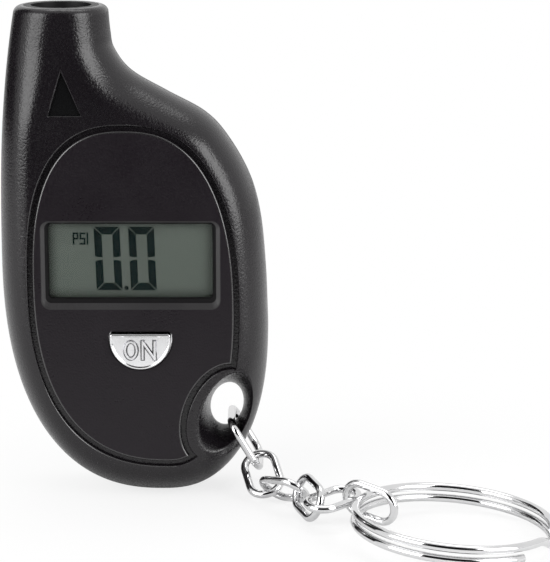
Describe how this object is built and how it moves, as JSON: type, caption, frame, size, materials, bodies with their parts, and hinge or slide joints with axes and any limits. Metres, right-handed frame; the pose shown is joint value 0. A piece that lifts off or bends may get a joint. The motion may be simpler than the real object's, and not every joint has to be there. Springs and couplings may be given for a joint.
{
  "type": "digital tyre pressure gauge",
  "caption": "Pocket digital tyre pressure gauge: pebble-shaped body with a valve nozzle, display window and push button, on a chain with a split ring.",
  "frame": {"origin": "middle of the nozzle's mouth, on the axis of the valve socket", "axes": "+Z out of the nozzle, along the valve socket's axis; the display faces -Y; +X to the display's right"},
  "size_m": [0.0826, 0.0499, 0.075],
  "materials": {
    "shell": "satin",
    "panel": "matte",
    "lens": "polished",
    "display": "polished",
    "reflector": "satin",
    "frame_plastic": "matte",
    "rubber": "matte",
    "strip": "matte",
    "board": "semi-gloss",
    "sensor": "satin",
    "tube": "satin",
    "socket": "satin",
    "brass": "satin",
    "chrome": "polished",
    "button": "chromed",
    "switch": "satin",
    "steel": "satin"
  },
  "bodies": {
    "gauge": {"front_shell": "shell", "rear_shell": "shell", "face_panel": "panel", "lcd_lens": "lens", "lcd_front_glass": "display", "lcd_rear_glass": "display", "lcd_reflector": "reflector", "lcd_frame": "frame_plastic", "zebra_strips": "strip", "circuit_board": "board", "chip_blob": "shell", "pressure_sensor": "sensor", "air_tube": "tube", "valve_socket": "socket", "valve_seal": "rubber", "valve_pin": "brass", "switch_body": "shell", "battery_tray": "shell", "battery_cell": "steel", "battery_contact_neg": "steel", "battery_contact_pos": "steel", "board_screws": "steel", "case_screws": "steel"},
    "button": {"on_button": "button"},
    "plunger": {"switch_plunger": "switch"},
    "cover": {"battery_cover": "shell"},
    "link_1": {"chain_link_1": "chrome"},
    "link_2": {"chain_link_2": "chrome"},
    "link_3": {"chain_link_3": "chrome"},
    "link_4": {"chain_link_4": "chrome"},
    "link_5": {"chain_link_5": "chrome"},
    "link_6": {"chain_link_6": "chrome"},
    "ring": {"split_ring": "chrome"}
  },
  "joints": [
    {"name": "button_press", "type": "slide", "parent": "gauge", "child": "button", "axis": [0, 1, 0], "range_m": [0, 0.0005], "stiffness_N_per_m": 400, "springref_m": -0.0005},
    {"name": "plunger_press", "type": "slide", "parent": "gauge", "child": "plunger", "axis": [0, 1, 0], "range_m": [0, 0.0005]},
    {"name": "cover_turn", "type": "hinge", "parent": "gauge", "child": "cover", "pos_m": [0.009, 0.008, -0.0435], "axis": [0, -1, 0], "range_deg": [0, 45]},
    {"name": "link_1_swing", "type": "hinge", "parent": "gauge", "child": "link_1", "pos_m": [0.0253, 0, -0.0637], "axis": [0, 1, 0], "range_deg": [-10, 12]},
    {"name": "link_2_swing", "type": "hinge", "parent": "link_1", "child": "link_2", "pos_m": [0.02963, -0.0024, -0.0709], "axis": [0, 1, 0], "range_deg": [-15, 15]},
    {"name": "link_3_swing", "type": "hinge", "parent": "link_2", "child": "link_3", "pos_m": [0.0311, -0.00965, -0.07341], "axis": [0.9492, 0.0881, 0.302], "range_deg": [-20, 10]},
    {"name": "link_4_swing", "type": "hinge", "parent": "link_3", "child": "link_4", "pos_m": [0.03619, -0.01462, -0.07145], "axis": [-0.6206, -0.3605, 0.6964], "range_deg": [-20, 20]},
    {"name": "link_5_swing", "type": "hinge", "parent": "link_4", "child": "link_5", "pos_m": [0.03846, -0.02117, -0.07202], "axis": [-0.3494, -0.04, -0.9361], "range_deg": [-5, 20]},
    {"name": "link_6_swing", "type": "hinge", "parent": "link_5", "child": "link_6", "pos_m": [0.04385, -0.01672, -0.07082], "axis": [-0.6462, 0.7582, 0.0868], "range_deg": [-10, 6]},
    {"name": "ring_swing", "type": "hinge", "parent": "link_6", "child": "ring", "pos_m": [0.04526, -0.02046, -0.07106], "axis": [0.4575, 0.8885, -0.036], "range_deg": [-12, 6]}
  ],
  "couplings": [
    {"joint": "plunger_press", "follows": "button_press", "ratio": 1}
  ]
}
